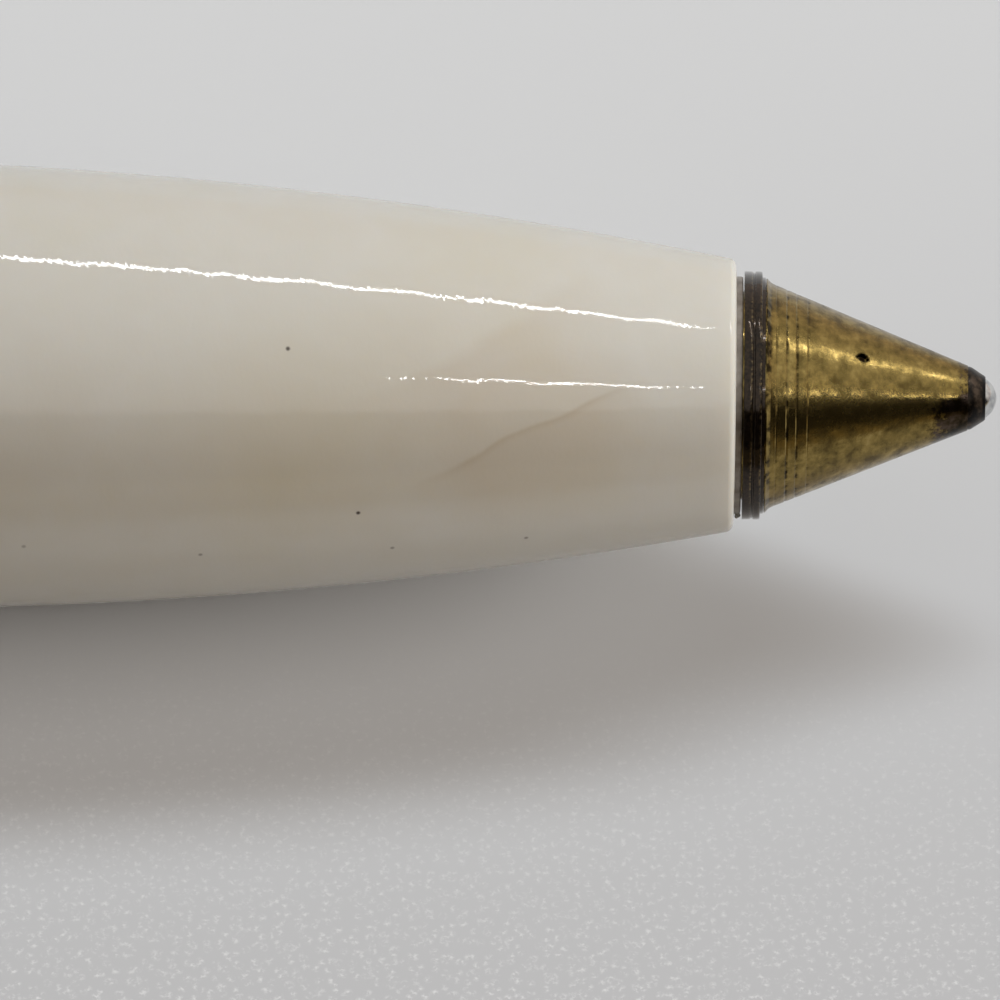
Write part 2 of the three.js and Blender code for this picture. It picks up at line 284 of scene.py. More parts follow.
# %% Turn the liners
for name, front, back, node in (
    ("brass_front_liner", front_face + liner_proud, centre_face - liner_proud, "front_liner"),
    ("brass_rear_liner", rear_front + liner_proud, rear_face - liner_proud, "rear_liner"),
):
    corners = [(back, liner_inner), (back, liner_outer), (front, liner_outer), (front, liner_inner)]
    liner = turn(name, [(*corner, 0.04, 2) for corner in corners], steps=96)
    stand_for(liner, node)

# %% [markdown]
# ## Nose cone
# The cone is one brass turning: a cone with a side slope of 22 degrees, a flat land for the ring, and
# a spigot that is pressed into the liner. The cutter left four fine marks near the foot, and a knock
# left a dent near the top. The marks belong to the outline. The dent is made afterwards: the few
# faces there are subdivided, inset and pushed in, which a bump map couldn't do, because the dent
# has to have a dark bottom.

# %% Turn the nose cone
mouth_x, mouth_radius, mouth_bore = tip - 0.64, 0.722, 0.71
cone_slope = 0.4045
cone_foot, cone_land, land_radius = tip - 4.98, tip - 5.14, 2.6
neck_lip, neck_width, neck_depth = 0.02, 0.1, 0.085
spigot_length, lead_in = 6, 0.25
turning_marks = [tip - back for back in (4.9, 4.67, 4.45, 4.2)]
mark_depths, mark_half_width = (0.004, 0.012, 0.008, 0.004), 0.035
refill_bore = 1.295
seat_front, seat_back = tip - 2.2, tip - 3.05


def cone_radius(x):
    return mouth_radius + cone_slope * (mouth_x - x)


cut_marks = [
    point
    for x, mark_depth in zip(turning_marks, mark_depths)
    for point in (
        (x - mark_half_width, cone_radius(x - mark_half_width)),
        (x - mark_half_width * 0.3, cone_radius(x) - mark_depth),
        (x + mark_half_width * 0.3, cone_radius(x) - mark_depth),
        (x + mark_half_width, cone_radius(x + mark_half_width)),
    )
]
spigot_end = front_face - spigot_length
nose_cone = turn(
    "brass_nose_cone",
    [
        (spigot_end, refill_bore),
        (spigot_end, plug_radius - lead_in),
        (spigot_end + lead_in, plug_radius),
        (cone_land, plug_radius),
        (cone_land, land_radius),
        (cone_land + neck_lip, land_radius),
        (cone_land + neck_width, land_radius - neck_depth),
        (cone_foot, cone_radius(cone_foot)),
        *cut_marks,
        *stations(turning_marks[-1] + 0.15, mouth_x - 0.12, 30, cone_radius),
        (mouth_x, mouth_radius, 0.005, 2),
        (mouth_x, mouth_bore),
        (seat_front, mouth_bore),
        (seat_back, refill_bore),
    ],
    steps=144,
    sharp_above=14,  # so that the cutter's fine marks stay crisp
)

# %% Press in the dent
dent_x, dent_length, dent_width, dent_depth = tip - 2.99, 0.3, 0.19, 0.08
dent_lean = radians(83)  # from level on the camera's side up towards the top
dent_out = Vector((0, -cos(dent_lean), sin(dent_lean)))
dent_centre = on_axis(dent_x) + dent_out * cone_radius(dent_x) * mm
dent_side = dent_out.cross(Vector((1, 0, 0)))


def in_dent(point, grow=1.0):
    """True within the dent's ellipse on the cone's surface."""
    offset = point - dent_centre
    along, across = offset.x / (dent_length / 2 * mm), offset.dot(dent_side) / (dent_width / 2 * mm)
    return along**2 + across**2 < grow**2 and abs(offset.dot(dent_out)) < 0.3 * mm


def select_faces(wanted):
    """In edit mode, selects the faces whose centre passes the test, and nothing else."""
    bpy.ops.mesh.select_all(action="DESELECT")
    mesh = bmesh.from_edit_mesh(bpy.context.object.data)
    for face in mesh.faces:
        face.select_set(wanted(face.calc_center_median()))
    bmesh.update_edit_mesh(bpy.context.object.data)


bpy.ops.object.mode_set(mode="EDIT")
bpy.ops.mesh.select_mode(type="FACE")
select_faces(lambda point: in_dent(point, 1.6))
bpy.ops.mesh.subdivide(number_cuts=3)
select_faces(in_dent)
bpy.ops.mesh.inset(thickness=0.012 * mm, depth=-dent_depth / 2 * mm)
bpy.ops.mesh.inset(thickness=0.02 * mm, depth=-dent_depth / 2 * mm)
bpy.ops.mesh.select_mode(type="VERT")
bpy.ops.object.mode_set(mode="OBJECT")
stand_for(nose_cone, "nose_cone")

# %% [markdown]
# ## Rings
# A ring of two thin discs with a groove between them hides the joint between barrel and cone, and
# its twin does the same at the tail. A low step on its front keeps the discs clear of the cone. Both
# are turned from brass and blackened.

# %% Turn the nose and tail rings
ring_radius, ring_length = 2.756, 0.47
ring_bore = plug_radius + glue_line
groove_floor = ring_radius - 0.03
nose_ring_front = cone_land - 0.02
tail_ring_back = rear_face - liner_proud - glue_line - ring_length


def disc_ring(name, start, facing):
    """A ring from the low step that meets the cone or cap, which faces +X or -X."""
    eased = ring_radius - 0.011  # each disc falls off a little towards this face, from wear
    soft = 0.012, 3
    profile = [
        (0, ring_bore),
        (0, land_radius + 0.02),
        (0.06, land_radius + 0.03),
        (0.075, eased, *soft),
        (0.13, ring_radius, *soft),
        (0.22, ring_radius, *soft),
        (0.235, groove_floor),
        (0.265, groove_floor),
        (0.28, eased, *soft),
        (0.335, ring_radius, *soft),
        (ring_length, ring_radius, *soft),
        (ring_length, ring_bore),
    ]
    return turn(name, [(start - facing * x, *rest) for x, *rest in profile], steps=144)


nose_ring = disc_ring("black_nose_ring", nose_ring_front, 1)
stand_for(nose_ring, "nose_ring")
tail_ring = disc_ring("black_tail_ring", tail_ring_back, -1)
stand_for(tail_ring, "tail_ring")

# %% [markdown]
# ## Centre band
# The rear half turns against the front half here. A crowned brass collar, pressed on the mechanism,
# stands between two blackened beads, one for each barrel.

# %% Turn the centre band
bead_width = 0.45
bead_radius = bead_width / 2
crown_edge, crown_fall = 0.04, 0.08  # below the barrel in the middle, and from there to each side
band_front = centre_face - seam - bead_width - glue_line
band_back = rear_front + seam + bead_width + glue_line
band_middle = (band_front + band_back) / 2


def crown(x):
    return centre_radius - crown_edge - crown_fall * ((x - band_middle) / (band_front - band_middle)) ** 2


centre_band = turn(
    "brass_centre_band",
    [
        (band_back, bore),
        (band_back, crown(band_back), 0.04, 3),
        *stations(band_back, band_front, 10, crown)[1:-1],
        (band_front, crown(band_front), 0.04, 3),
        (band_front, bore),
    ],
    steps=144,
)
stand_for(centre_band, "centre_band")

# %% Turn the beads
for name, front, node in (
    ("black_band_front_ring", centre_face - seam, "band_front_ring"),
    ("black_band_rear_ring", rear_front + seam + bead_width, "band_rear_ring"),
):
    centre_x, centre_r = front - bead_radius, centre_radius - bead_radius - 0.02
    arch = [
        (centre_x + bead_radius * cos(pi * i / 12), centre_r + bead_radius * sin(pi * i / 12))
        for i in range(12, -1, -1)
    ]
    bead = turn(name, [(front - bead_width, bore), *arch, (front, bore)], steps=144)
    stand_for(bead, node)

# %% [markdown]
# ## Bead of glue
# When the liner was glued in, a bead of epoxy was squeezed out and set in the gap behind the ring. It
# is lumpy, so a squashed ball has some of its faces pushed out in two places and is then smoothed.

# %% Drop a bead of glue in the gap
bead_lean = radians(218)  # where it sits round the liner: on the camera's side, low down
bead_out = Vector((0, cos(bead_lean), sin(bead_lean)))
bead_place = on_axis(front_face + 0.09) + bead_out * (liner_outer + 0.02) * mm
sphere = bpy.ops.mesh.primitive_ico_sphere_add
glue_bead = blank(sphere, "dried_glue_bead", subdivisions=2, radius=0.06 * mm, location=bead_place)
edit_all()
bpy.ops.transform.resize(value=(1.1, 1.0, 1.5), center_override=bead_place)
bpy.ops.mesh.select_mode(type="FACE")
for direction in ((0.6, -0.6, 0.5), (-0.5, -0.4, -0.8)):
    lump = Vector(direction).normalized()
    select_faces(lambda point: (point - bead_place).normalized().dot(lump) > 0.86)
    bpy.ops.mesh.inset(thickness=0.008 * mm, depth=0.02 * mm)
bpy.ops.mesh.select_mode(type="VERT")
bpy.ops.object.mode_set(mode="OBJECT")
soften = glue_bead.modifiers.new("soften", "SUBSURF")
soften.levels = soften.render_levels = 2
bpy.ops.object.modifier_apply(modifier="soften")
bpy.ops.object.shade_smooth()
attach(glue_bead, frame["nodes"]["front_liner"]["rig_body"])
print("bead of glue at", tuple(round(v / mm, 2) for v in bead_place))

# %% [markdown]
# ## Tail cap
# The cap closes the rear liner with a spigot like the cone's, and ends in a low dome with a flat the
# size of a lentil, which the pen can stand on in a pocket or a rack.

# %% Turn the tail cap
cap_flat = 1.3
cap_land = tail_ring_back - 0.02
dome_start = cap_land - 0.35
dome_rise = land_radius - 0.05 - cap_flat
spigot_front = rear_face + spigot_length
dome = [
    (dome_start + (dome_start - tail) * cos(angle), cap_flat + dome_rise * sin(angle))
    for angle in (pi / 2 * (1 + i / 20) for i in range(21))
]
tail_cap = turn(
    "brass_tail_cap",
    [
        (tail, 0),
        *reversed(dome),
        (cap_land - 0.26, land_radius - 0.12),
        (cap_land - 0.2, land_radius),
        (cap_land, land_radius),
        (cap_land, plug_radius),
        (spigot_front - lead_in, plug_radius),
        (spigot_front, plug_radius - lead_in),
        (spigot_front, 0),
    ],
    closed=False,
    steps=144,
)
stand_for(tail_cap, "tail_cap")

# %% [markdown]
# ## Point and ball
# The point of the refill is turned from nickel silver. Its lip is rolled over the ball, which keeps
# the ball in and leaves a little less than half of it out. An arc about the ball's centre gives the
# socket, so that the wall of ink between the two is equally thin all over.

# %% Turn the point
ball_radius = 0.5
ball_x = tip - ball_radius
ball_room = 0.025
lip_x, lip_radius = tip - 0.25, 0.478
neck_radius, neck_back = 0.7, tip - 2.32
refill_radius = 1.175
point_shoulder, tube_front, stem_end = tip - 3.1, tip - 6, tip - 9
stem_radius = 0.87
ink_channel, ink_duct = 0.12, 0.45
duct_front, duct_back = tip - 3.6, tip - 4.2

socket_radius = ball_radius + ball_room
lip_angle = atan2(sqrt(socket_radius**2 - (lip_x - ball_x) ** 2), lip_x - ball_x)
channel_angle = pi - atan2(ink_channel, sqrt(socket_radius**2 - ink_channel**2))
socket_wall = [
    (ball_x + socket_radius * cos(angle), socket_radius * sin(angle))
    for angle in (channel_angle + (lip_angle - channel_angle) * i / 16 for i in range(17))
]
point = turn(
    "stained_point",
    [
        *socket_wall,
        (lip_x, lip_radius),
        (lip_x - 0.04, 0.513),
        (lip_x - 0.13, 0.57),
        (lip_x - 0.22, 0.63),
        (lip_x - 0.3, 0.681),
        (lip_x - 0.35, 0.7),
        (mouth_x, neck_radius),
        (neck_back, neck_radius),
        (point_shoulder, refill_radius),
        (tube_front + seam, refill_radius),
        (tube_front + seam, stem_radius),
        (stem_end, stem_radius),
        (stem_end, ink_duct),
        (duct_back, ink_duct),
        (duct_front, ink_channel),
    ],
    steps=96,
)
stand_for(point, "refill_point")

# %% Turn the ball
ball = turn(
    "steel_writing_ball",
    [(ball_x + ball_radius * cos(pi * i / 40), ball_radius * abs(sin(pi * i / 40))) for i in range(41)],
    closed=False,
    steps=80,
)
stand_for(ball, "writing_ball")

# %% [markdown]
# ## Cutting slots and holes
# The mechanism behind the refill shows when the rear half is pulled off. Its tubes are turned like
# the rest, and their slots are milled, which a Boolean modifier does here: a cutter of the slot's
# shape is made, placed and taken away from the tube. Slots drawn into the tube's own faces would
# have to follow its steps, and couldn't have round ends.

# %% Cut one piece with another
def through_rod(name, x, radius, reach):
    """An upright rod that crosses the axis at x and reaches as far above it as below."""
    cylinder, size = bpy.ops.mesh.primitive_cylinder_add, {"radius": radius * mm, "depth": 2 * reach * mm}
    return blank(cylinder, name, vertices=48, location=on_axis(x), **size)


def cut(piece, *cutters):
    """Takes each cutter's shape out of the piece and removes the cutter."""
    bpy.ops.object.select_all(action="DESELECT")
    bpy.context.view_layer.objects.active = piece
    piece.select_set(True)
    for cutter in cutters:
        difference = piece.modifiers.new("cut", "BOOLEAN")
        difference.object = cutter
        bpy.ops.object.modifier_apply(modifier="cut")
        bpy.data.objects.remove(cutter)
    bpy.ops.object.shade_smooth_by_angle(angle=radians(sharp_edge))
    print(f"{piece.name}: {len(piece.data.polygons)} faces after {len(cutters)} cuts")


# %% [markdown]
# ## Guide and clip
# The plug, collar and guide tube are one turned piece, pressed into the front half. The guide's two
# straight slots keep the pin of the refill from turning. One rod with half of its end pulled along
# cuts both. A spring clip snaps into a groove near the guide's end and keeps the cam sleeve on.

# %% Turn the mechanism base
travel = 4
refill_tail = tip - 67
pin_x, pin_radius = refill_tail - 1.6, 0.28
slot_width = 0.76
cutter_spare = 0.2  # how far a cutter reaches past the wall it cuts
guide_outer, guide_inner, guide_end = 1.92, 1.52, pin_x - travel - 3.4
collar_front, collar_back = centre_face - liner_proud - seam, rear_front + liner_proud + seam
clip_front, clip_thickness, clip_seat = guide_end + 0.9, 0.3, 2.14
clip_play, clip_groove, guide_chamfer = 0.05, 0.2, 0.15
plug_front = centre_face + 12

mechanism_base = turn(
    "brass_mechanism_base",
    [
        (plug_front, refill_bore),
        (plug_front, plug_radius - lead_in),
        (plug_front - lead_in, plug_radius),
        (collar_front, plug_radius),
        (collar_front, liner_outer),
        (collar_back, liner_outer, 0.05, 3),
        (collar_back, guide_outer),
        (clip_front + clip_play, guide_outer),
        (clip_front + clip_play, guide_outer - clip_groove),
        (clip_front - clip_thickness - clip_play, guide_outer - clip_groove),
        (clip_front - clip_thickness - clip_play, guide_outer),
        (guide_end + guide_chamfer, guide_outer),
        (guide_end, guide_outer - guide_chamfer),
        (guide_end, guide_inner),
        (collar_back - 0.1, guide_inner),
        (collar_back + 0.15, refill_bore),
    ],
)
straight_cutter = through_rod("straight_cutter", pin_x, slot_width / 2, guide_outer + cutter_spare)
bpy.ops.object.mode_set(mode="EDIT")
select_vertices(lambda co: co.x < (pin_x - 0.01) * mm)
bpy.ops.transform.translate(value=(-travel * mm, 0, 0))
bpy.ops.object.mode_set(mode="OBJECT")
cut(mechanism_base, straight_cutter)
stand_for(mechanism_base, "mechanism_base")

# %% Bend the clip
clip_back, clip_outer = clip_front - clip_thickness, clip_seat - clip_play
clip_inner = guide_outer - clip_groove + 0.04
retaining_clip = turn(
    "steel_retaining_clip",
    [
        (clip_back, clip_inner),
        (clip_back, clip_outer, 0.04, 3),
        (clip_front, clip_outer, 0.04, 3),
        (clip_front, clip_inner),
    ],
)
clip_bottom = on_axis(clip_front, -clip_seat)
opening = blank(bpy.ops.mesh.primitive_cube_add, "clip_opening", size=2 * mm, location=clip_bottom)
edit_all()
bpy.ops.transform.resize(value=(1, 0.8, 1), center_override=clip_bottom)
bpy.ops.object.mode_set(mode="OBJECT")
cut(retaining_clip, opening)
stand_for(retaining_clip, "retaining_clip")

# %% [markdown]
# ## Cam sleeve
# The sleeve turns on the guide with the rear half. Its two helical slots run back by 4 mm in half a
# turn and drive the pin along. Each cutter is a rectangle across the slot, tilted to the slot's
# slope, and a Screw modifier winds it about the axis. Upright rods round the ends of the slots.

# %% Turn the cam sleeve
sleeve_inner = 1.98
sleeve_front, plug_flange = collar_back - seam, clip_front - 3.1
sleeve_back, seat_x = plug_flange + seam, clip_front + 0.1
cam_sleeve = turn(
    "brass_cam_sleeve",
    [
        (sleeve_front, sleeve_inner),
        (sleeve_front, plug_radius, 0.08, 3),
        (sleeve_back, plug_radius, 0.04, 3),
        (sleeve_back, clip_seat),
        (seat_x, clip_seat),
        (seat_x, sleeve_inner),
    ],
    steps=160,
)

# %% Mill the helical slots
slope = atan2(travel, pi * plug_radius)
slot_ends = pin_x, pin_x - travel
cutters = [
    through_rod(f"end_cutter_{x:.0f}", x, slot_width / 2, plug_radius + cutter_spare)
    for x in slot_ends
]
for side in (1, -1):
    bpy.ops.object.select_all(action="DESELECT")
    bpy.ops.mesh.primitive_plane_add(size=slot_width * mm, rotation=(pi / 2, 0, 0), location=on_axis(pin_x))
    winder = bpy.context.object
    bpy.ops.object.transform_apply(location=False, rotation=True)
    edit_all()
    bpy.ops.transform.rotate(value=side * slope, orient_axis="Z", center_override=on_axis(pin_x))
    bpy.ops.transform.translate(value=(0, 0, side * (plug_radius + sleeve_inner) / 2 * mm))
    bpy.ops.object.mode_set(mode="OBJECT")
    winding = winder.modifiers.new("winding", "SCREW")
    winding.axis, winding.angle, winding.screw_offset = "X", pi, -travel * mm
    winding.steps = winding.render_steps = 64
    bpy.ops.object.modifier_apply(modifier="winding")
    bpy.ops.object.transform_apply(location=True)
    edit_all()
    bpy.ops.mesh.fill_holes(sides=4)
    bpy.ops.mesh.select_all(action="SELECT")
    bpy.ops.mesh.normals_make_consistent(inside=False)
    bpy.ops.object.mode_set(mode="OBJECT")
    cutters.append(winder)
cut(cam_sleeve, *cutters)
stand_for(cam_sleeve, "cam_sleeve")

# %% [markdown]
# ## Plug and grip ring
# An acetal plug closes the sleeve. A rubber ring in its groove grips the rear half's liner, so the
# rear half turns the sleeve when it is twisted and still pulls off.

# %% Turn the plug and the grip ring
grip_x, grip_thickness = plug_flange - 3, 0.28
half_groove, groove_bottom = grip_thickness / 2 + 0.04, plug_radius - grip_thickness - 0.01
plug_end = plug_flange - 6
sleeve_plug = turn(
    "acetal_sleeve_plug",
    [
        (plug_flange + 1.6, 0),
        (plug_flange + 1.6, clip_seat - 0.2),
        (plug_flange + 1.45, clip_seat - 0.05),
        (plug_flange, clip_seat - 0.05),
        (plug_flange, plug_radius, 0.05, 3),
        (grip_x + half_groove, plug_radius),
        (grip_x + half_groove, groove_bottom),
        (grip_x - half_groove, groove_bottom),
        (grip_x - half_groove, plug_radius),
        (plug_end + 0.5, plug_radius, 0.1, 3),
        (plug_end, plug_radius - 0.5, 0.1, 3),
        (plug_end, 0),
    ],
    closed=False,
)
stand_for(sleeve_plug, "sleeve_plug")
grip_half = grip_thickness / 2
grip_ring = turn(
    "nitrile_grip_ring",
    [
        (grip_x + grip_half * cos(tau * i / 20), liner_inner - 0.02 - grip_half * (1 - sin(tau * i / 20)))
        for i in range(20)
    ],
)
stand_for(grip_ring, "grip_ring")

# %% [markdown]
# ## Refill tube, carrier and pin
# The refill is a drawn brass tube. Its tail sits in an acetal carrier, which slides in the guide and
# is crossed by a hole for the steel pin. The pin is cut from wire and its ends are rounded.

# %% Draw the refill tube
ink_bore = 0.9
refill_tube = turn(
    "brass_refill_tube",
    [
        (refill_tail, ink_bore),
        (refill_tail, refill_radius, 0.05, 2),
        (tube_front, refill_radius, 0.05, 2),
        (tube_front, ink_bore),
    ],
    steps=96,
)
stand_for(refill_tube, "refill_tube")

# %% Turn the carrier
carrier_front, carrier_back = refill_tail + 4.4, pin_x - 1.3
carrier_outer, socket = guide_inner - 0.05, refill_radius + 0.05
refill_carrier = turn(
    "acetal_refill_carrier",
    [
        (carrier_back, 0),
        (carrier_back, carrier_outer, 0.2, 3),
        (carrier_front, carrier_outer, 0.1, 3),
        (carrier_front, socket),
        (refill_tail - seam, socket),
        (refill_tail - seam, 0),
    ],
    closed=False,
    steps=96,
)
cut(refill_carrier, through_rod("pin_drill", pin_x, pin_radius + glue_line, guide_outer))
stand_for(refill_carrier, "refill_carrier")

# %% Cut the pin
pin_reach = plug_radius - 0.1
follower_pin = through_rod("steel_follower_pin", pin_x, pin_radius, pin_reach)
bpy.ops.object.mode_set(mode="EDIT")
bpy.ops.mesh.select_mode(type="FACE")
select_faces(lambda point: abs(point.z / mm - body_radius) > pin_reach - 0.01)
bpy.ops.mesh.bevel(offset=0.07 * mm, segments=3, affect="EDGES")
bpy.ops.mesh.select_mode(type="VERT")
bpy.ops.object.mode_set(mode="OBJECT")
bpy.ops.object.shade_smooth_by_angle(angle=radians(sharp_edge))
stand_for(follower_pin, "follower_pin")

# %% [markdown]
# ## How a finish is written
# Each finish is a small graph of shader nodes. One function adds a node with its settings and its
# links, another turns the hex colours that a paint or stain chart gives into Blender's linear
# colours, and a third starts a finish with coordinates in millimetres, centred on the pen's axis,
# so that every pattern below has a real size.

# %% Helpers for finishes
def linear(hex_colour):
    """An sRGB hex colour as linear red, green, blue and alpha."""
    channels = [int(hex_colour[i : i + 2], 16) / 255 for i in (1, 3, 5)]
    return [c / 12.92 if c <= 0.04045 else ((c + 0.055) / 1.055) ** 2.4 for c in channels] + [1]


def add(owner, kind, inputs=(), stops=(), span=(), **settings):
    """Adds a shader node to a finish.

    inputs maps a socket to a value, a hex colour, an output, or a node whose first output is meant.
    stops are the colours of a ramp. span is From Min and From Max, then To Min and To Max if they
    aren't 0 and 1.
    """
    made = owner.node_tree.nodes.new("ShaderNode" + kind)
    for setting, value in settings.items():
        setattr(made, setting, value)
    for socket, value in dict(inputs).items():
        if isinstance(value, bpy.types.Node):
            value = value.outputs[0]
        if isinstance(value, bpy.types.NodeSocket):
            owner.node_tree.links.new(value, made.inputs[socket])
        else:
            made.inputs[socket].default_value = linear(value) if isinstance(value, str) else value
    for socket, value in zip(("From Min", "From Max", "To Min", "To Max"), span):
        made.inputs[socket].default_value = value
    if stops:
        ramp = made.color_ramp
        while len(ramp.elements) < len(stops):
            ramp.elements.new(1)
        for element, (position, hex_colour) in zip(ramp.elements, stops):
            element.position, element.color = position, linear(hex_colour)
    return made


def begin(name):
    """A new finish, and its coordinates in millimetres from the pen's axis."""
    finish = bpy.data.materials.new(name)
    finish.use_nodes = True
    finish.node_tree.nodes.clear()
    place = add(finish, "TexCoord")
    metres = add(finish, "VectorMath", {0: place.outputs["Object"], 1: on_axis(0)}, operation="SUBTRACT")
    return finish, add(finish, "VectorMath", {0: metres, "Scale": 1 / mm}, operation="SCALE")


def close(finish, shader, *pieces):
    """Ends a finish with a shader that has these inputs, and gives it to whole pieces."""
    add(finish, "OutputMaterial", {"Surface": add(finish, "BsdfPrincipled", shader)})
    for piece in pieces:
        piece.data.materials.clear()
        piece.data.materials.append(finish)
    print(finish.name, "on", [piece.name for piece in pieces])


# %% [markdown]
# ## Marbled resin
# The barrels are cast from polyester resin, an ivory batch folded once or twice into a browner one
# and left to set. The layers are therefore sheets through the whole block, and the lathe cuts them
# into curves with one sharp and one soft side. A tilted plane measured in object space, bent by
# noise, gives the sheets, and a ramp that repeats along it gives each sheet its sharp front and its
# slow fade. A flat wave texture would give stripes of equal width.

# %% Cast marbled resin
resin, place = begin("cast_polyester_resin_marbled")
sheet_normal = Vector((0.461, -0.531, -0.709))
sheet_period = 13.0  # mm from the first sheet to its repeat
bend_size, bend_reach = 6.25, 3.5  # mm along a bend, and how far it pushes a sheet
bend = add(resin, "TexNoise", {"Vector": place, "Scale": 1 / bend_size, "Detail": 2.5, "Roughness": 0.55})
bend_centred = add(resin, "VectorMath", {0: bend.outputs["Color"], 1: (0.5, 0.5, 0.5)}, operation="SUBTRACT")
bent = add(resin, "VectorMath", {0: bend_centred, 1: (bend_reach,) * 3, 2: place}, operation="MULTIPLY_ADD")
depth = add(resin, "VectorMath", {0: bent, 1: sheet_normal}, operation="DOT_PRODUCT")
turns = add(resin, "Math", {0: depth.outputs["Value"], 1: 1 / sheet_period}, operation="MULTIPLY")
share = add(resin, "Math", {0: turns}, operation="FRACT")
layers = add(
    resin,
    "ValToRGB",
    {"Fac": share},
    stops=[
        (0.0, "#CFCABC"), (0.13, "#CDC7B8"), (0.305, "#CFC9BB"), (0.325, "#C6BBA8"), (0.37, "#C9BFAE"),
        (0.507, "#CBC3B3"), (0.515, "#B7A88F"), (0.528, "#C3B8A5"), (0.68, "#CBC4B5"), (1.0, "#CFCABC"),
    ],
)

# %% Let the sheets fade in and out
# Places are in mm, and the browner batch reaches the surface at two of them near the nose.
def within(owner, place, centre, full, none, most=1.0):
    """The share of a patch round a centre: most as far out as full, and nothing from none on."""
    away = add(owner, "VectorMath", {0: place, 1: centre}, operation="DISTANCE").outputs["Value"]
    return add(owner, "MapRange", {"Value": away}, span=(full, none, most, 0.0))


sharp_fold = within(resin, place, (42.6, -2.9, 2.3), 1.5, 2.9, 0.65)
soft_fold = within(resin, place, (41.4, -1.5, 3.5), 1.0, 3.6, 0.55)
elsewhere = add(resin, "TexNoise", {"Vector": place, "Scale": 0.11, "Detail": 1.0})
far_share = add(resin, "MapRange", {"Value": elsewhere}, span=(0.56, 0.68, 0.0, 0.6))
axes = add(resin, "SeparateXYZ", {"Vector": place})
nose_start = add(resin, "MapRange", {"Value": axes.outputs["X"]}, span=(24.0, 30.0, 1.0, 0.0))
far_fold = add(resin, "Math", {0: far_share, 1: nose_start}, operation="MULTIPLY")
near_fold = add(resin, "Math", {0: sharp_fold, 1: soft_fold}, operation="MAXIMUM")
fold = add(resin, "Math", {0: near_fold, 1: far_fold}, operation="MAXIMUM")
folded = add(resin, "MixRGB", {"Fac": fold, "Color1": "#CECBC2", "Color2": layers})
cloud = add(resin, "TexNoise", {"Vector": place, "Scale": 0.3, "Detail": 3, "Roughness": 0.55})
cloud_tint = add(
    resin, "ValToRGB", {"Fac": cloud}, stops=[(0.32, "#FDFCF8"), (0.5, "#FFFFFF"), (0.68, "#FDFCFA")]
)
clouded = add(resin, "MixRGB", {"Fac": 1.0, "Color1": folded, "Color2": cloud_tint}, blend_type="MULTIPLY")
honey = within(resin, place, (37.6, -3.6, 2.6), 0.8, 3.6, 0.4)
honeyed = add(resin, "MixRGB", {"Fac": honey, "Color1": clouded, "Color2": "#C9BFA6"})

# %% Dust from the mould
grit_spacing, grit_size = 1.5, 0.05  # mm
grit = add(resin, "TexVoronoi", {"Vector": place, "Scale": 1 / grit_spacing})
grit_mask = add(
    resin,
    "MapRange",
    {"Value": grit},
    span=(grit_size / 2 / grit_spacing, 1.5 * grit_size / grit_spacing, 0.7, 0.0),
)
dust = add(resin, "Math", {0: grit_mask, 1: nose_start}, operation="MULTIPLY")
specks = (
    # x, the angle in degrees from level on the camera's side up towards the top, and how dark
    (37.28, 63.4, 0.9),
    (38.87, 12.7, 0.95),
    (39.63, -4, 0.5),
    (35.39, -0.7, 0.5),
    (42.59, -6, 0.55),
    (31.49, 5.3, 0.4),
)
for speck_x, lean, strength in specks:
    radius = falling(ogive_start, front_face, front_face_radius)(speck_x)
    speck_place = (speck_x, -radius * cos(radians(lean)), radius * sin(radians(lean)))
    speck = within(resin, place, speck_place, 0.025, 0.065, strength)
    dust = add(resin, "Math", {0: dust, 1: speck}, operation="MAXIMUM")
body_colour = add(resin, "MixRGB", {"Fac": dust, "Color1": honeyed, "Color2": "#33251C"})

# %% Buff the resin
strokes = add(resin, "Mapping", {"Vector": place, "Scale": (10, 6, 6)})
buffing = add(resin, "TexNoise", {"Vector": strokes, "Scale": 1.0, "Detail": 1, "Roughness": 0.45})
swirls = add(resin, "TexNoise", {"Vector": place, "Scale": 1.1, "Detail": 1})
relief = add(resin, "Math", {0: swirls, 1: 5.0, 2: buffing}, operation="MULTIPLY_ADD")
buffed = add(resin, "Bump", {"Height": relief, "Distance": 0.0017 * mm})
patchy = add(resin, "Mapping", {"Vector": place, "Scale": (0.9, 0.4, 0.4)})
hazy = add(resin, "TexNoise", {"Vector": patchy, "Scale": 1.0, "Detail": 1})
haze = add(resin, "MapRange", {"Value": hazy}, span=(0.5, 0.75, 0.015, 0.07))
gloss = {
    "Base Color": body_colour,
    "Roughness": haze,
    "IOR": 1.54,
    "Subsurface Weight": 0.25,
    "Subsurface Radius": (1.0, 0.75, 0.5),
    "Subsurface Scale": 0.8 * mm,
    "Normal": buffed,
}
close(resin, gloss, front_barrel, rear_barrel)

# %% [markdown]
# ## Worn brass
# The cone, the collar and the cap were turned, lacquered, and carried for years. Bright metal shows
# where fingers rub it, and the rest is olive and brown. Fine lines run round the piece from the
# turning. Noise stretched round the pen gives the lines, because it is squeezed only along x, and
# two layers of noise give the blotches and the freckles.

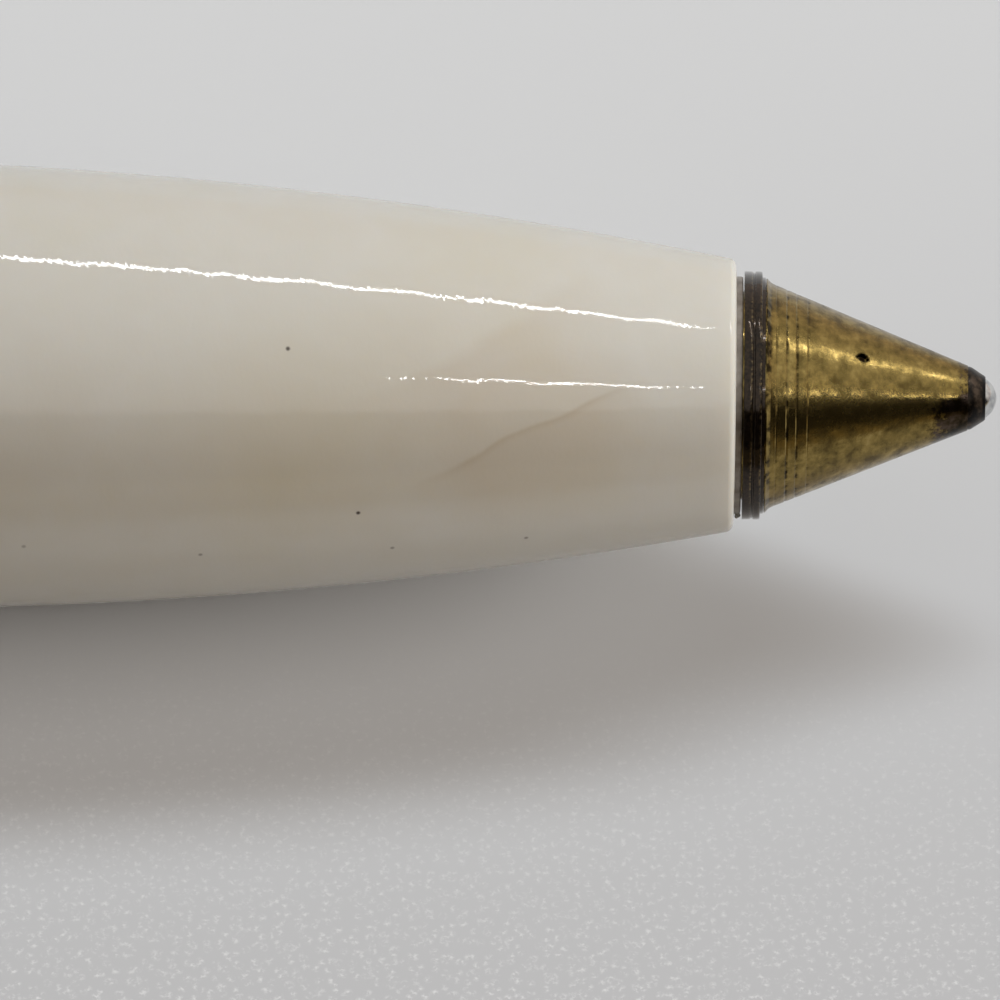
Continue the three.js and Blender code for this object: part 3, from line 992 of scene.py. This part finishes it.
# %% Turned brass, worn and tarnished
brass, place = begin("turned_brass_worn")
line_pitch, blotch_size, freckle_size = 0.09, 1 / 3, 1 / 7  # mm
along = add(brass, "Mapping", {"Vector": place, "Scale": (1 / line_pitch, 0.6, 0.6)})
lines = add(brass, "TexNoise", {"Vector": along, "Scale": 1.0, "Detail": 3, "Roughness": 0.6})
blotch = add(brass, "TexNoise", {"Vector": place, "Scale": 1 / blotch_size, "Detail": 4, "Roughness": 0.6})
freckle = add(brass, "TexNoise", {"Vector": place, "Scale": 1 / freckle_size, "Detail": 3, "Roughness": 0.6})
age = add(brass, "Math", {0: blotch, 1: 0.72}, operation="MULTIPLY")
age = add(brass, "Math", {0: lines, 1: 0.1, 2: age}, operation="MULTIPLY_ADD")
age = add(brass, "Math", {0: freckle, 1: 0.18, 2: age}, operation="MULTIPLY_ADD")
metal_colour = add(
    brass,
    "ValToRGB",
    {"Fac": age},
    stops=[(0.36, "#63532F"), (0.43, "#77663A"), (0.5, "#877342"), (0.57, "#98824C"), (0.64, "#A8925A")],
)
metal_roughness = add(brass, "MapRange", {"Value": age}, span=(0.38, 0.6, 0.32, 0.16))

# %% Dirt and painted shade in the cutter's marks, painted shade at the cone's foot and in the dent
def beside(owner, axes, line_x, full, none, most=1.0):
    """The share of a line round the pen at one x: most as far off as full, and nothing from none on."""
    off = add(owner, "Math", {0: axes.outputs["X"], 1: line_x}, operation="SUBTRACT")
    off = add(owner, "Math", {0: off}, operation="ABSOLUTE")
    return add(owner, "MapRange", {"Value": off}, span=(full, none, most, 0.0))


axes = add(brass, "SeparateXYZ", {"Vector": place})
mark_strengths = 0.35, 0.95, 0.8, 0.35
dirt_and_shade_lines = [(x, 0.012, 0.045, strength) for x, strength in zip(turning_marks, mark_strengths)]
dirt_and_shade_lines.append((cone_land, 0.09, 0.14, 0.85))  # the cone's foot, against the ring, gets painted shade
# The dark colour paints shade into the cutter's marks, along with some dirt, and at the cone's foot against
# the ring.
dirt_and_painted_shade = None
for line in dirt_and_shade_lines:
    streak = beside(brass, axes, *line)
    if dirt_and_painted_shade:
        streak = add(brass, "Math", {0: dirt_and_painted_shade, 1: streak}, operation="MAXIMUM")
    dirt_and_painted_shade = streak
uneven = add(brass, "MapRange", {"Value": blotch}, span=(0.42, 0.54, 1.0, 0.1))
dirt_and_painted_shade = add(brass, "Math", {0: dirt_and_painted_shade, 1: uneven}, operation="MULTIPLY")
dent_place = (dent_centre - on_axis(0)) / mm
# painted shade: the dent's bottom is coloured dark, as shade in the pit would make it
dent_painted_shade = within(brass, place, dent_place, 0.1, 0.15)
dirt_and_painted_shade = add(brass, "Math", {0: dirt_and_painted_shade, 1: dent_painted_shade}, operation="MAXIMUM")
# dark where shade is painted: in the marks, at the cone's foot and in the dent
brass_with_dirt_and_painted_shade = add(brass, "MixRGB", {"Fac": dirt_and_painted_shade, "Color1": metal_colour, "Color2": "#150F08"})

# %% Ink creeps back from the mouth
ink_side = Vector((0.0, -0.788, -0.616))  # low on the camera's side, where it creeps farthest
low = add(brass, "VectorMath", {0: place, 1: ink_side}, operation="DOT_PRODUCT")
low_share = add(brass, "MapRange", {"Value": low.outputs["Value"]}, span=(-0.1, 0.15, 0.0, 0.72))
ink_reach = add(brass, "Math", {0: axes.outputs["X"], 1: low_share}, operation="ADD")
ragged = add(brass, "Math", {0: freckle, 1: 1.3, 2: ink_reach}, operation="MULTIPLY_ADD")
ink_mask = add(brass, "MapRange", {"Value": ragged}, span=(tip - 0.14, tip + 0.14, 0.0, 0.95))
clots = add(brass, "TexNoise", {"Vector": place, "Scale": 3.4, "Detail": 3, "Roughness": 0.6})
ink_colour = add(
    brass, "ValToRGB", {"Fac": clots}, stops=[(0.38, "#0E0906"), (0.5, "#33291F"), (0.62, "#4B3F39")]
)
stained = add(brass, "MixRGB", {"Fac": ink_mask, "Color1": brass_with_dirt_and_painted_shade, "Color2": ink_colour})
relief = add(brass, "Math", {0: lines, 1: 1.2, 2: freckle}, operation="MULTIPLY_ADD")
tooled = add(brass, "Bump", {"Height": relief, "Distance": 0.0035 * mm})
worn = {"Base Color": stained, "Metallic": 1.0, "Roughness": metal_roughness, "Normal": tooled}
close(brass, worn, nose_cone, centre_band, tail_cap)

# %% [markdown]
# ## Blackened brass
# The rings were dipped in a patina bath that turns brass nearly black, then waxed. Rubbing has
# brought back specks of metal along the sharp edges of the discs. Two places along x find those
# edges, so each ring gets the same finish with its own two places.

# %% Blackened brass
def blacken(name, edges, *pieces):
    black, place = begin(name)
    axes = add(black, "SeparateXYZ", {"Vector": place})
    speckle = add(black, "TexNoise", {"Vector": place, "Scale": 13.0, "Detail": 3, "Roughness": 0.65})
    worn_edge = None
    for edge in edges:
        near = beside(black, axes, edge, 0.008, 0.028)
        if worn_edge:
            near = add(black, "Math", {0: worn_edge, 1: near}, operation="MAXIMUM")
        worn_edge = near
    chance = add(black, "MapRange", {"Value": speckle}, span=(0.46, 0.64, 0.0, 0.7))
    rubbed = add(black, "Math", {0: worn_edge, 1: chance}, operation="MULTIPLY")
    patina = add(black, "ValToRGB", {"Fac": speckle}, stops=[(0.35, "#1A130D"), (0.62, "#372B1F")])
    patina_colour = add(black, "MixRGB", {"Fac": rubbed, "Color1": patina, "Color2": "#7C6B49"})
    pitted = add(black, "Bump", {"Height": speckle, "Distance": 0.0015 * mm})
    waxed = {
        "Base Color": patina_colour,
        "Metallic": 0.85,
        "Roughness": 0.12,
        "Coat Weight": 0.3,
        "Coat Roughness": 0.03,
        "Normal": pitted,
    }
    close(black, waxed, *pieces)


disc_edges = 0.1, 0.305  # mm from the face of the low step to the worn edge of each disc
blacken("blackened_brass_nose", [nose_ring_front - x for x in disc_edges], nose_ring)
blacken("blackened_brass_tail", [tail_ring_back + x for x in disc_edges], tail_ring)
beads = [bpy.data.objects[name] for name in ("black_band_front_ring", "black_band_rear_ring")]
bead_tops = band_front + glue_line + bead_radius, band_back - glue_line - bead_radius
blacken("blackened_brass_band", bead_tops, *beads)

# %% [markdown]
# ## Stained point
# The point of the refill is stained by dried ink, which sits as a brown-black film on the nickel
# silver, blackest along the rolled lip.

# %% Nickel silver, stained by ink
silver, place = begin("nickel_silver_ink_stained")
film = add(silver, "TexNoise", {"Vector": place, "Scale": 3.8, "Detail": 4, "Roughness": 0.62})
film_colour = add(
    silver, "ValToRGB", {"Fac": film}, stops=[(0.4, "#0C0806"), (0.5, "#2C241C"), (0.62, "#4C4035")]
)
axes = add(silver, "SeparateXYZ", {"Vector": place})
rim = add(silver, "MapRange", {"Value": axes.outputs["X"]}, span=(lip_x - 0.1, lip_x - 0.05))
rimmed = add(silver, "MixRGB", {"Fac": rim, "Color1": film_colour, "Color2": "#080504"})
film_relief = add(silver, "Bump", {"Height": film, "Distance": 0.008 * mm})
inked = {"Base Color": rimmed, "Metallic": 0.7, "Roughness": 0.32, "Normal": film_relief}
close(silver, inked, point)

# %% [markdown]
# ## Plain metals, plastics and fillings
# The mechanism, the refill and the liners are drawn, ground or moulded, and nothing has worn them.
# Each has one pattern in one size, so one function makes these finishes, and the comments say what
# each pattern gives the eye.

# %% Plain metals, plastics and fillings
def plain(name, per_mm, detail, stops, relief, shader, *pieces, stretch=None):
    """A finish with one noise of so many spots per mm, for the tint and for a bump of relief mm."""
    finish, place = begin(name)
    if stretch:
        place = add(finish, "Mapping", {"Vector": place, "Scale": stretch})
    spots = add(finish, "TexNoise", {"Vector": place, "Scale": per_mm, "Detail": detail})
    shader = {"Base Color": add(finish, "ValToRGB", {"Fac": spots}, stops=stops), **shader}
    if relief:
        shader["Normal"] = add(finish, "Bump", {"Height": spots, "Distance": relief * mm})
    close(finish, shader, *pieces)


# the die leaves faint lines along the tube
drawn = {"Metallic": 1.0, "Roughness": 0.34}
tint = [(0.3, "#A98C55"), (0.6, "#D0B272")]
tubes = mechanism_base, cam_sleeve, refill_tube
plain("drawn_brass_tube", 1.0, 4, tint, 0.004, drawn, *tubes, stretch=(0.3, 9, 9))
# epoxy smeared over the ends dulls the liners to a grey brown
smeared = {"Metallic": 0.35, "Roughness": 0.4}
tint = [(0.35, "#7E746A"), (0.65, "#A59C92")]
plain("drawn_brass_tube_glued", 3.0, 4, tint, 0.01, smeared, shown["front_liner"], shown["rear_liner"])
# set epoxy is clear and glossy, and a little milky where it holds air
clear = {"Roughness": 0.08, "IOR": 1.56, "Transmission Weight": 0.3}
plain("set_epoxy", 14.0, 2, [(0.4, "#9A9890"), (0.6, "#E6E4DC")], 0.006, clear, glue_bead)
# bright spring steel and wire, and the ball, which is lapped until it has no lines at all
bright = {"Metallic": 1.0, "Roughness": 0.3}
tint = [(0.3, "#A9ABAE"), (0.7, "#C8CACC")]
plain("hardened_steel_bright", 6.0, 3, tint, 0, bright, retaining_clip, follower_pin)
lapped = {"Metallic": 1.0, "Roughness": 0.16}
plain("lapped_steel", 2.2, 3, [(0.36, "#A3A5A8"), (0.5, "#DADAD8")], 0, lapped, ball)
# white acetal keeps a soft sheen from the tool, and nitrile the fine matte grain of its mould
tint = [(0.35, "#DEDCD4"), (0.65, "#F0EFE9")]
plain("machined_acetal", 1 / 0.3, 3, tint, 0.002, {"Roughness": 0.45}, refill_carrier, sleeve_plug)
tint = [(0.35, "#161617"), (0.65, "#252526")]
plain("moulded_nitrile", 1 / 0.08, 3, tint, 0.01, {"Roughness": 0.7}, grip_ring)
# ballpoint ink is thick and glossy, and the grease behind it is clear amber
wet = {"Roughness": 0.25}
plain("ballpoint_ink", 1 / 1.5, 3, [(0.35, "#0B1024"), (0.65, "#151C3C")], 0.01, wet, shown["refill_ink"])
plain("follower_grease", 1 / 2.0, 3, [(0.35, "#CFC488"), (0.65, "#E2D8A8")], 0.01, wet, shown["ink_follower"])

# %% [markdown]
# ## Floor
# The pen lies on a pale, slightly cool surface. It is a large plane with a matte, fine-grained
# finish, so that it gives the pen a soft shadow and a little light from below. Its colour is painted
# darker towards the viewer, as painted shade.

# %% Lay the floor
bpy.ops.object.select_all(action="DESELECT")
bpy.ops.mesh.primitive_plane_add(size=6.0)
floor = bpy.context.object
floor.name = "floor"
paper, place = begin("matte_laminate_pale")
axes = add(paper, "SeparateXYZ", {"Vector": place})
# painted shade: the floor's colour falls off towards the viewer
painted_falloff_toward_viewer = add(paper, "MapRange", {"Value": axes.outputs["Y"]}, span=(15.0, -14.0))
floor_colour_with_painted_falloff = add(paper, "MixRGB", {"Fac": painted_falloff_toward_viewer, "Color1": "#DCDEE0", "Color2": "#C7C8CA"})
grain_start = add(paper, "MapRange", {"Value": axes.outputs["Y"]}, span=(-3.0, -14.0, 0.0, 0.8))
grains = add(paper, "TexVoronoi", {"Vector": place, "Scale": 4.0}, voronoi_dimensions="2D")
grain_top = add(paper, "MapRange", {"Value": grains}, span=(0.1, 0.5, 1.0, 0.0))
crumbs = add(paper, "TexNoise", {"Vector": place, "Scale": 9.0, "Detail": 2, "Roughness": 0.6})
grain_pick = add(paper, "MapRange", {"Value": crumbs}, span=(0.46, 0.66))
glint = add(paper, "Math", {0: grain_top, 1: grain_pick}, operation="MULTIPLY")
glint = add(paper, "Math", {0: glint, 1: grain_start}, operation="MULTIPLY")
grained_colour = add(paper, "MixRGB", {"Fac": glint, "Color1": floor_colour_with_painted_falloff, "Color2": "#EEEFF0"})
# The floor in front of the picture is in the viewer's shade, which only the pen's lower side shows.
seen = add(paper, "LightPath")
shade_start = add(paper, "MapRange", {"Value": axes.outputs["Y"]}, span=(-14.0, -22.0))
unseen = add(paper, "Math", {0: 1.0, 1: seen.outputs["Is Camera Ray"]}, operation="SUBTRACT")
in_shade = add(paper, "Math", {0: shade_start, 1: unseen}, operation="MULTIPLY")
paper_colour = add(paper, "MixRGB", {"Fac": in_shade, "Color1": grained_colour, "Color2": "#7A6E52"})
close(paper, {"Base Color": paper_colour, "Roughness": 0.75}, floor)
floor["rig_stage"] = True

# %% [markdown]
# ## Light
# The light of a plain studio: a long soft panel high behind the pen, which throws the shadow towards
# the viewer, a broad one low on the right, one more in front on the right, and a pale surround.
# Narrow strips give the long thin reflections that show how round and how smooth the resin is. The
# panels light only matte surfaces and the strips only glossy ones, so each can be set by itself. The
# surround has a darker part on the viewer's side, which gives the brass its dark band.

# %% Set up the lamps
target = Vector((42.0, -1.888, 3.525)) * mm  # the middle of the picture


def lamp(name, start, end, width, radiance, height=1.2):
    """A flat lamp that faces the target. Its ends are metres along X and Y per metre of height."""
    ends = [target + Vector((x, y, 1)) * height for x, y in (start, end)]
    middle = (ends[0] + ends[1]) / 2
    along = (ends[1] - ends[0]).normalized()
    away = middle - target
    away = (away - along * away.dot(along)).normalized()
    light = bpy.data.lights.new(name, "AREA")
    light.shape = "RECTANGLE"
    light.size, light.size_y = (ends[1] - ends[0]).length, width
    light.energy = radiance * pi * light.size * light.size_y
    made = bpy.data.objects.new(name, light)
    made.location = middle
    made.rotation_euler = Matrix((along, away.cross(along), away)).transposed().to_euler()
    made.visible_camera = False
    bpy.context.scene.collection.objects.link(made)
    print(name, "at", tuple(round(v, 3) for v in middle), f"{light.energy:.2f} W")
    return made


for name, start, end, width, radiance, height, colour in (
    ("panel", (-0.15, 0.65), (1.15, 0.6), 0.3, 8.8, 1.2, (0.93, 1.0, 1.06)),
    ("side_panel", (2.4, -0.9), (2.4, 0.5), 0.6, 9.8, 0.6, (1.0, 0.97, 0.94)),
    ("front_panel", (1.2, -0.85), (2.2, -0.85), 0.4, 6.8, 0.8, (1.0, 0.95, 0.9)),
):
    soft = lamp(name, start, end, width, radiance, height)
    soft.visible_glossy = False
    soft.data.color = colour
for name, start, end, width, radiance in (
    ("strip_behind", (-0.02, 0.69), (0.37, 0.355), 0.026, 24),
    ("strip_before", (0.3, -0.582), (0.447, -0.637), 0.02, 26),
    ("cone_strip_behind", (0.6, 0.54), (1.2, 0.54), 0.16, 4.6),
    ("cone_strip_before", (0.9, -0.66), (1.5, -0.66), 0.03, 12),
):
    lamp(name, start, end, width, radiance).visible_diffuse = False

# %% Surround
scene = bpy.context.scene
world = bpy.data.worlds.new("surround")
scene.world = world
world.use_nodes = True
world.node_tree.nodes.clear()
sky_place = add(world, "TexCoord")
sky_axes = add(world, "SeparateXYZ", {"Vector": sky_place.outputs["Generated"]})
# the ramps run over the sine of the height above the horizon: 0 level, 1 overhead
sky = add(
    world,
    "ValToRGB",
    {"Fac": sky_axes.outputs["Z"]},
    stops=[(0.0, "#D2C4BB"), (0.5, "#E0DAD5"), (1.0, "#E4E6E4")],
)
toward_viewer = add(world, "MapRange", {"Value": sky_axes.outputs["Y"]}, span=(-0.1, -0.35))
band_ramp = add(
    world,
    "ValToRGB",
    {"Fac": sky_axes.outputs["Z"]},
    stops=[(0.0, "#FFFFFF"), (0.585, "#FFFFFF"), (0.635, "#000000")],
)
band_share = add(world, "Math", {0: toward_viewer, 1: band_ramp}, operation="MULTIPLY")
ray = add(world, "LightPath")
band_depth = add(world, "MapRange", {"Value": ray.outputs["Is Glossy Ray"]}, span=(0.0, 1.0, 0.3, 1.0))
band_amount = add(world, "Math", {0: band_share, 1: band_depth}, operation="MULTIPLY")
sky_with_band = add(world, "MixRGB", {"Fac": band_amount, "Color1": sky, "Color2": "#2C2A2A"})
# matte surfaces get a little less sky, and warmer, which tints the shadow and the pen's lower side
dimmer = add(world, "MixRGB", {"Fac": ray.outputs["Is Glossy Ray"], "Color1": "#958B82", "Color2": "#FFFFFF"})
sky_with_band = add(
    world, "MixRGB", {"Fac": 1.0, "Color1": sky_with_band, "Color2": dimmer}, blend_type="MULTIPLY"
)
backdrop = add(
    world, "MixRGB", {"Fac": ray.outputs["Is Camera Ray"], "Color1": sky_with_band, "Color2": "#D6D8DA"}
)
air = add(world, "Background", {"Color": backdrop, "Strength": 1.0})
add(world, "OutputWorld", {"Surface": air})

# %% [markdown]
# ## Camera
# The view is a close-up of the writing end from 52 degrees above, square to the pen, with a long
# lens, so that the cone's outline keeps its true slope. The whole picture is 22 mm wide at the
# pen's axis, and the pen runs down to the right by less than a degree.

# %% Place the camera
view_elevation, view_roll = radians(52), radians(-0.73)
view_width, camera_distance = 22.22 * mm, 600 * mm
scene.view_settings.view_transform = "Standard"
camera_data = bpy.data.cameras.new("camera")
camera_data.sensor_width = 36
camera_data.lens = camera_data.sensor_width * camera_distance / view_width
camera_data.clip_start = 0.01
camera = bpy.data.objects.new("camera", camera_data)
scene.collection.objects.link(camera)
back = Vector((0, -cos(view_elevation), sin(view_elevation)))
camera.location = target + back * camera_distance
camera.rotation_mode = "QUATERNION"
camera.rotation_quaternion = back.to_track_quat("Z", "Y") @ Matrix.Rotation(-view_roll, 3, "Z").to_quaternion()
scene.camera = camera
print(f"lens {camera_data.lens:.1f} mm")

# %% Print the imported box and the visual box
corners = [[round(v, 6) for v in corner] for corner in (*cad_box, *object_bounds())]
print("CAD and visual corners:", corners)
